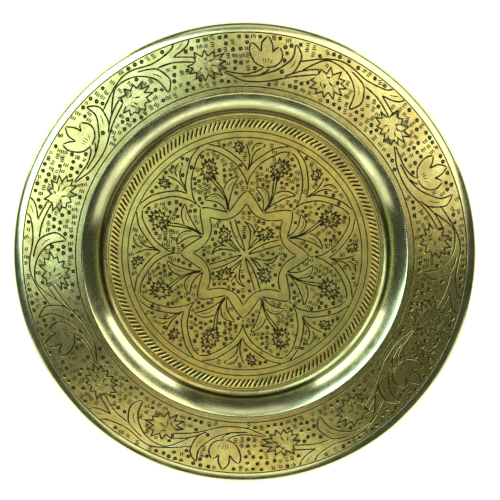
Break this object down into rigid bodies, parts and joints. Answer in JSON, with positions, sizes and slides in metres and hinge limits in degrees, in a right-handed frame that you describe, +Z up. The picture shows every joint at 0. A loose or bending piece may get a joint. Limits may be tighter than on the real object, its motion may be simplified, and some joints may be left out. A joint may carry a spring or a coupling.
{
  "type": "serving tray",
  "caption": "Round brass serving tray with a flat sunken floor, sloping wall, broad engraved rim and an edge rolled over a wire.",
  "frame": {"origin": "centre of the underside, on the surface that the tray rests on", "axes": "+Z up, out of the tray's well along its axis; +X and +Y level, with +Y towards the side that a star point of the engraving faces"},
  "size_m": [0.3, 0.3, 0.012],
  "materials": {
    "brass": "engraved, lightly brushed, with an antique greenish-yellow patina",
    "iron_wire": "dull drawn iron wire, hidden in the rolled edge"
  },
  "bodies": {
    "root": {"tray_sheet": "brass", "edge_wire": "iron_wire"}
  },
  "joints": []
}
